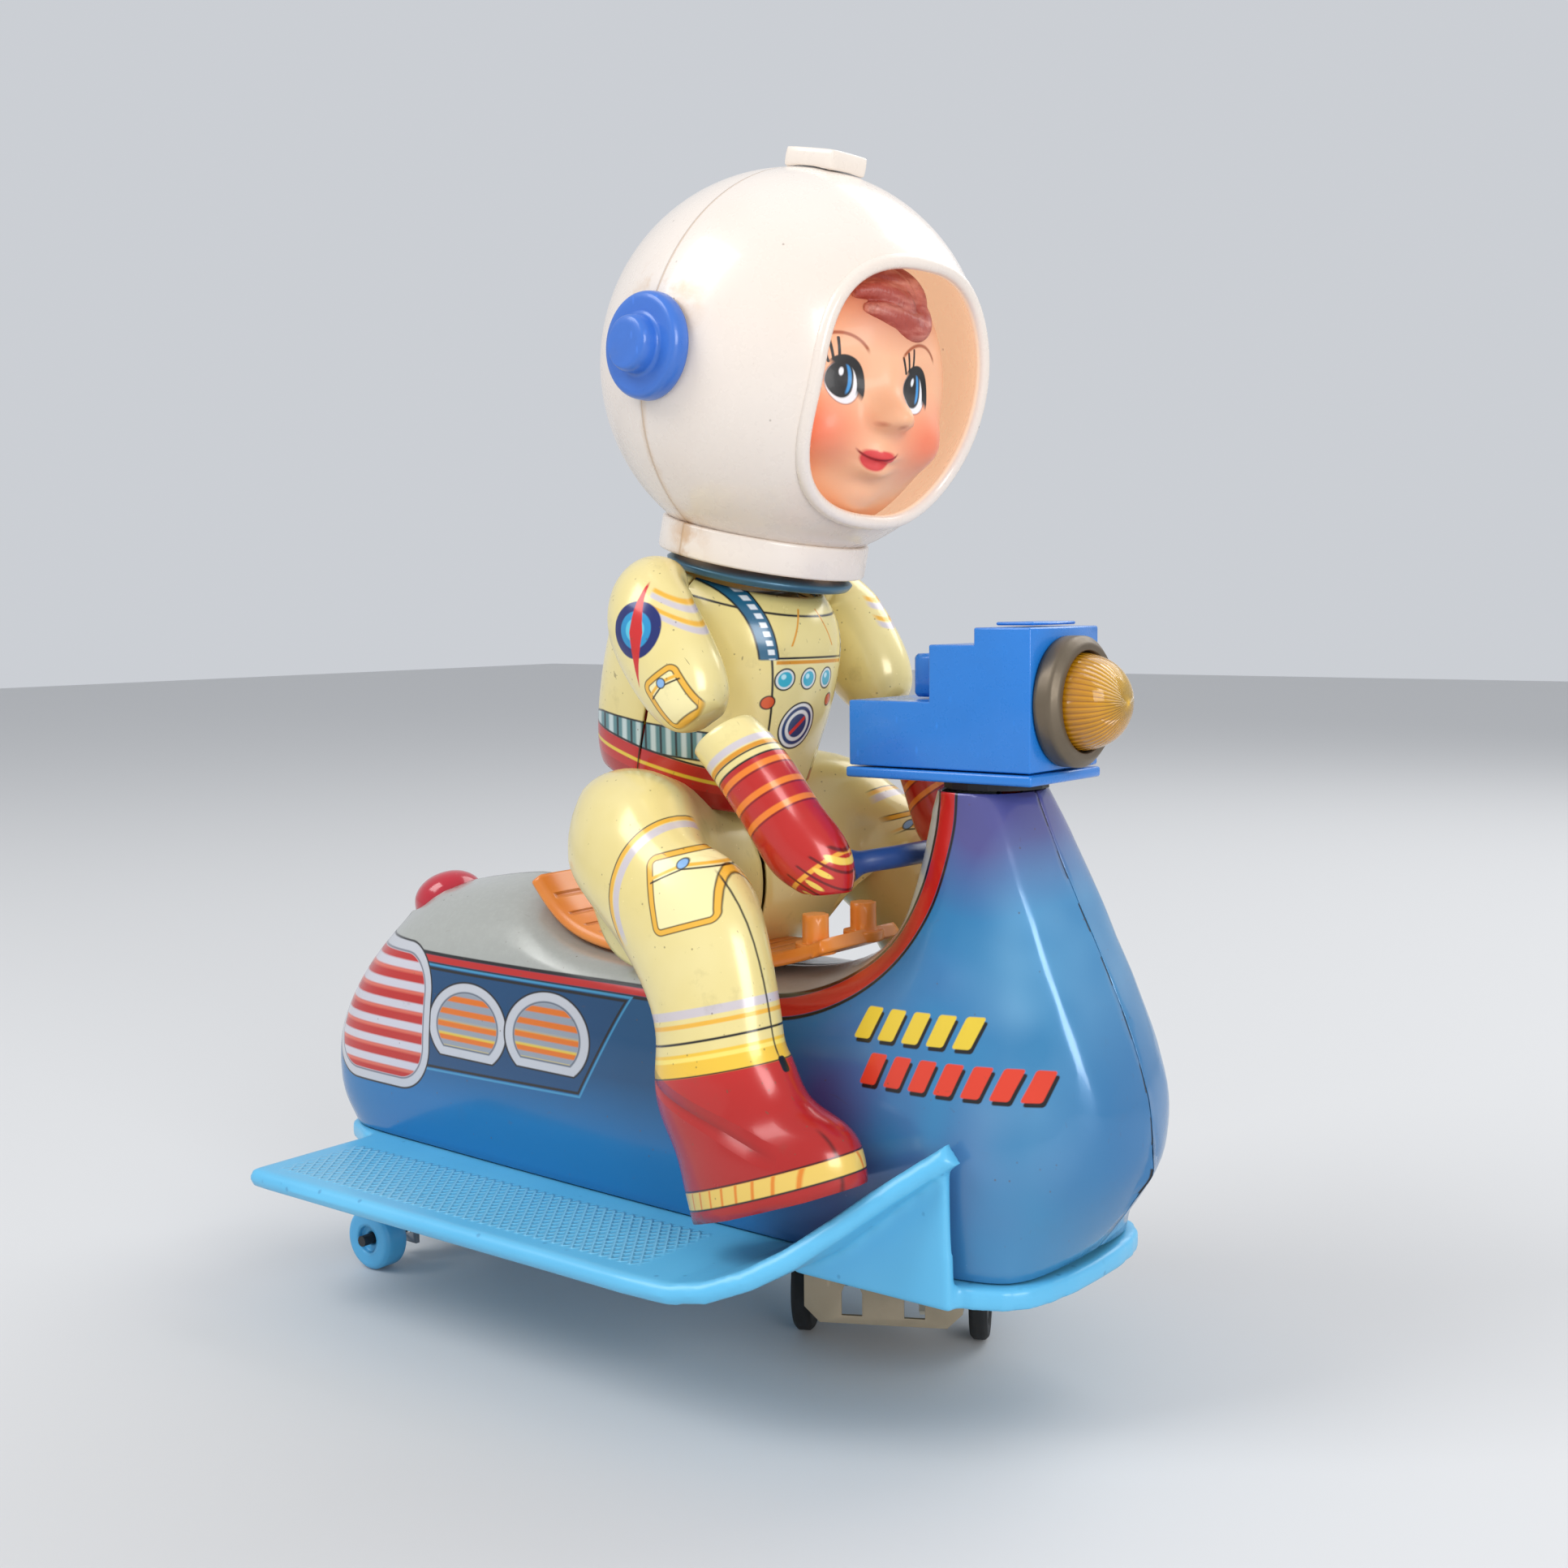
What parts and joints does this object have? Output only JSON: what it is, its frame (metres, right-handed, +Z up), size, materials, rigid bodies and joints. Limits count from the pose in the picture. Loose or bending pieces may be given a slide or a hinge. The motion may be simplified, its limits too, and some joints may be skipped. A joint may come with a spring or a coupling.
{
  "type": "toy space scooter with rider",
  "caption": "Battery-driven tin toy: a helmeted space rider seated on a scooter with curled footboards, a swivelling drive unit, a lamp console and a seat.",
  "frame": {"origin": "on the floor under the middle of the toy's outline", "axes": "+X forwards, +Y to the rider's left, +Z up"},
  "size_m": [0.2062, 0.1126, 0.2298],
  "materials": {
    "blue_tin": "lithographed gloss",
    "base_plastic": "moulded, semi-gloss",
    "console_plastic": "moulded, gloss",
    "dark_blue_plastic": "moulded, gloss",
    "orange_plastic": "moulded, semi-gloss",
    "amber_lens": "clear moulded, ribbed",
    "red_lens": "clear moulded",
    "lamp_trim": "satin",
    "suit_tin": "lithographed gloss, worn",
    "collar_tin": "lithographed gloss",
    "helmet_plastic": "moulded, semi-gloss, aged",
    "ear_plastic": "moulded, gloss",
    "head_vinyl": "soft vinyl, painted features",
    "rubber": "matt",
    "plated_steel": "plated",
    "casing_tin": "satin lacquer",
    "brass": "plain",
    "gear_plastic": "moulded",
    "cell_jacket": "plain dark jacket",
    "bulb_glass": "clear",
    "black_plastic": "moulded"
  },
  "bodies": {
    "scooter": {"base": "base_plastic", "body_left": "blue_tin", "body_right": "blue_tin", "battery_cradle": "plated_steel", "rear_cell": "cell_jacket", "front_cell": "cell_jacket", "front_contact": "brass", "rear_contact": "brass", "console_shell": "console_plastic", "console_floor": "console_plastic", "console_cap": "console_plastic", "console_button": "console_plastic", "lamp_bezel": "lamp_trim", "lamp_lens": "amber_lens", "lamp_socket": "brass", "lamp_bulb": "bulb_glass", "neck_washer": "black_plastic", "handlebar": "dark_blue_plastic", "seat": "orange_plastic", "rear_lamp": "red_lens", "hatch_guide_left": "plated_steel", "hatch_guide_right": "plated_steel", "rear_bracket": "plated_steel", "switch_plate": "plated_steel", "motor": "plated_steel", "motor_bracket": "plated_steel", "torso_front": "suit_tin", "torso_back": "suit_tin", "neck_ring": "collar_tin", "shoulder_rod": "plated_steel", "left_leg": "suit_tin", "right_leg": "suit_tin"},
    "battery_hatch": {"battery_hatch": "base_plastic"},
    "switch": {"switch_knob": "black_plastic"},
    "rear_wheels": {"rear_axle": "plated_steel", "rear_wheel_left": "base_plastic", "rear_wheel_right": "base_plastic"},
    "drive_unit": {"turntable": "plated_steel", "keeper_ring": "plated_steel", "drive_casing": "casing_tin"},
    "drive_wheels": {"drive_axle": "plated_steel", "drive_gear": "gear_plastic", "drive_hub_front": "black_plastic", "drive_hub_rear": "black_plastic", "drive_tyre_front": "rubber", "drive_tyre_rear": "rubber"},
    "lay_shaft": {"lay_shaft": "brass"},
    "motor_shaft": {"motor_shaft": "plated_steel"},
    "right_arm": {"right_upper_arm": "suit_tin", "right_forearm": "suit_tin"},
    "left_arm": {"left_upper_arm": "suit_tin", "left_forearm": "suit_tin"},
    "helmet": {"helmet": "helmet_plastic", "helmet_cap": "helmet_plastic", "ear_disc_left": "ear_plastic", "ear_disc_right": "ear_plastic", "head": "head_vinyl"}
  },
  "joints": [
    {"name": "hatch_slide", "type": "slide", "parent": "scooter", "child": "battery_hatch", "axis": [-1, 0, 0], "range_m": [0, 0.03]},
    {"name": "switch_slide", "type": "slide", "parent": "scooter", "child": "switch", "axis": [1, 0, 0], "range_m": [0, 0.003]},
    {"name": "rear_wheels_spin", "type": "hinge", "parent": "scooter", "child": "rear_wheels", "pos_m": [-0.0736, 0, 0.0069], "axis": [0, 1, 0], "continuous": true},
    {"name": "drive_swivel", "type": "hinge", "parent": "scooter", "child": "drive_unit", "pos_m": [0.0459, 0, 0.0229], "axis": [0, 0, 1], "continuous": true},
    {"name": "drive_wheels_spin", "type": "hinge", "parent": "drive_unit", "child": "drive_wheels", "pos_m": [0.03956, 0.01192, 0.0103], "axis": [0.8829, 0.4695, 0], "continuous": true},
    {"name": "lay_shaft_spin", "type": "hinge", "parent": "drive_unit", "child": "lay_shaft", "pos_m": [0.04285, 0.00574, 0.01521], "axis": [0.8829, 0.4695, 0], "continuous": true},
    {"name": "motor_shaft_spin", "type": "hinge", "parent": "drive_unit", "child": "motor_shaft", "pos_m": [0.0459, 0, 0.02], "axis": [0, 0, 1], "continuous": true},
    {"name": "right_shoulder", "type": "hinge", "parent": "scooter", "child": "right_arm", "pos_m": [0.012, -0.025, 0.1465], "axis": [0, -1, 0], "range_deg": [0, 50]},
    {"name": "left_shoulder", "type": "hinge", "parent": "scooter", "child": "left_arm", "pos_m": [0.012, 0.025, 0.1465], "axis": [0, -1, 0], "range_deg": [0, 50]},
    {"name": "helmet_turn", "type": "hinge", "parent": "scooter", "child": "helmet", "pos_m": [0.0254, 0, 0.1897], "axis": [0.2164, 0, 0.9763], "range_deg": [-40, 40]}
  ],
  "couplings": [
    {"joint": "lay_shaft_spin", "follows": "drive_wheels_spin", "ratio": -2},
    {"joint": "motor_shaft_spin", "follows": "drive_wheels_spin", "ratio": -24}
  ]
}
